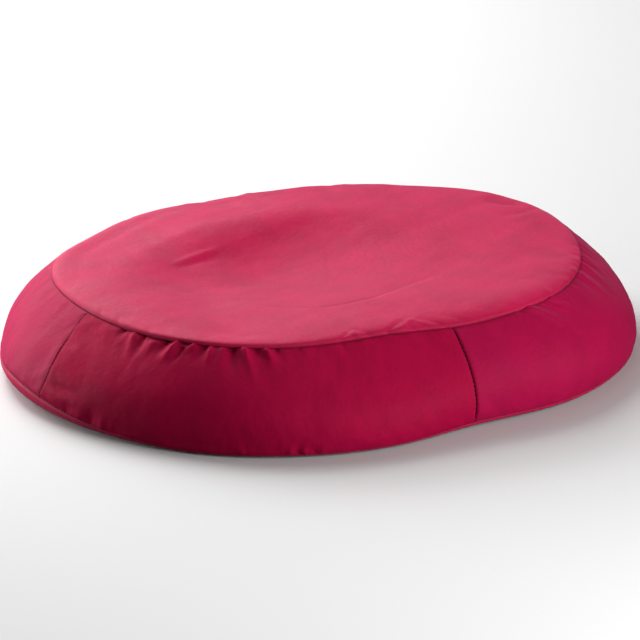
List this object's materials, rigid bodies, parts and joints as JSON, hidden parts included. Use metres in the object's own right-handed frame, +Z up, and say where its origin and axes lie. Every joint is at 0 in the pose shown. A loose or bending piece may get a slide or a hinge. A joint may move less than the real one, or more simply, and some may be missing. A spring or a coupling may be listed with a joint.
{
  "type": "ring cushion",
  "caption": "Low oval ring cushion in a fitted sewn cloth cover: flat-lying top panel dipped over the closed ring hole, joined sloping side band and wrapped base panel.",
  "frame": {"origin": "on the resting surface, under the middle of the cushion's outer box", "axes": "+X along the cushion's long axis, +Y to its rear, +Z up; the front, at -Y, has the upright seam right of its middle"},
  "size_m": [0.457, 0.381, 0.0782],
  "materials": {
    "filled_body": "matte",
    "top_cloth": "soft sheen woven",
    "front_band_cloth": "soft sheen woven",
    "long_band_cloth": "soft sheen woven",
    "base_cloth": "matte woven"
  },
  "bodies": {
    "root": {"cushion_body": "filled_body", "top_panel": "top_cloth", "side_band_front": "front_band_cloth", "side_band_long": "long_band_cloth", "base_panel": "base_cloth"}
  },
  "joints": []
}
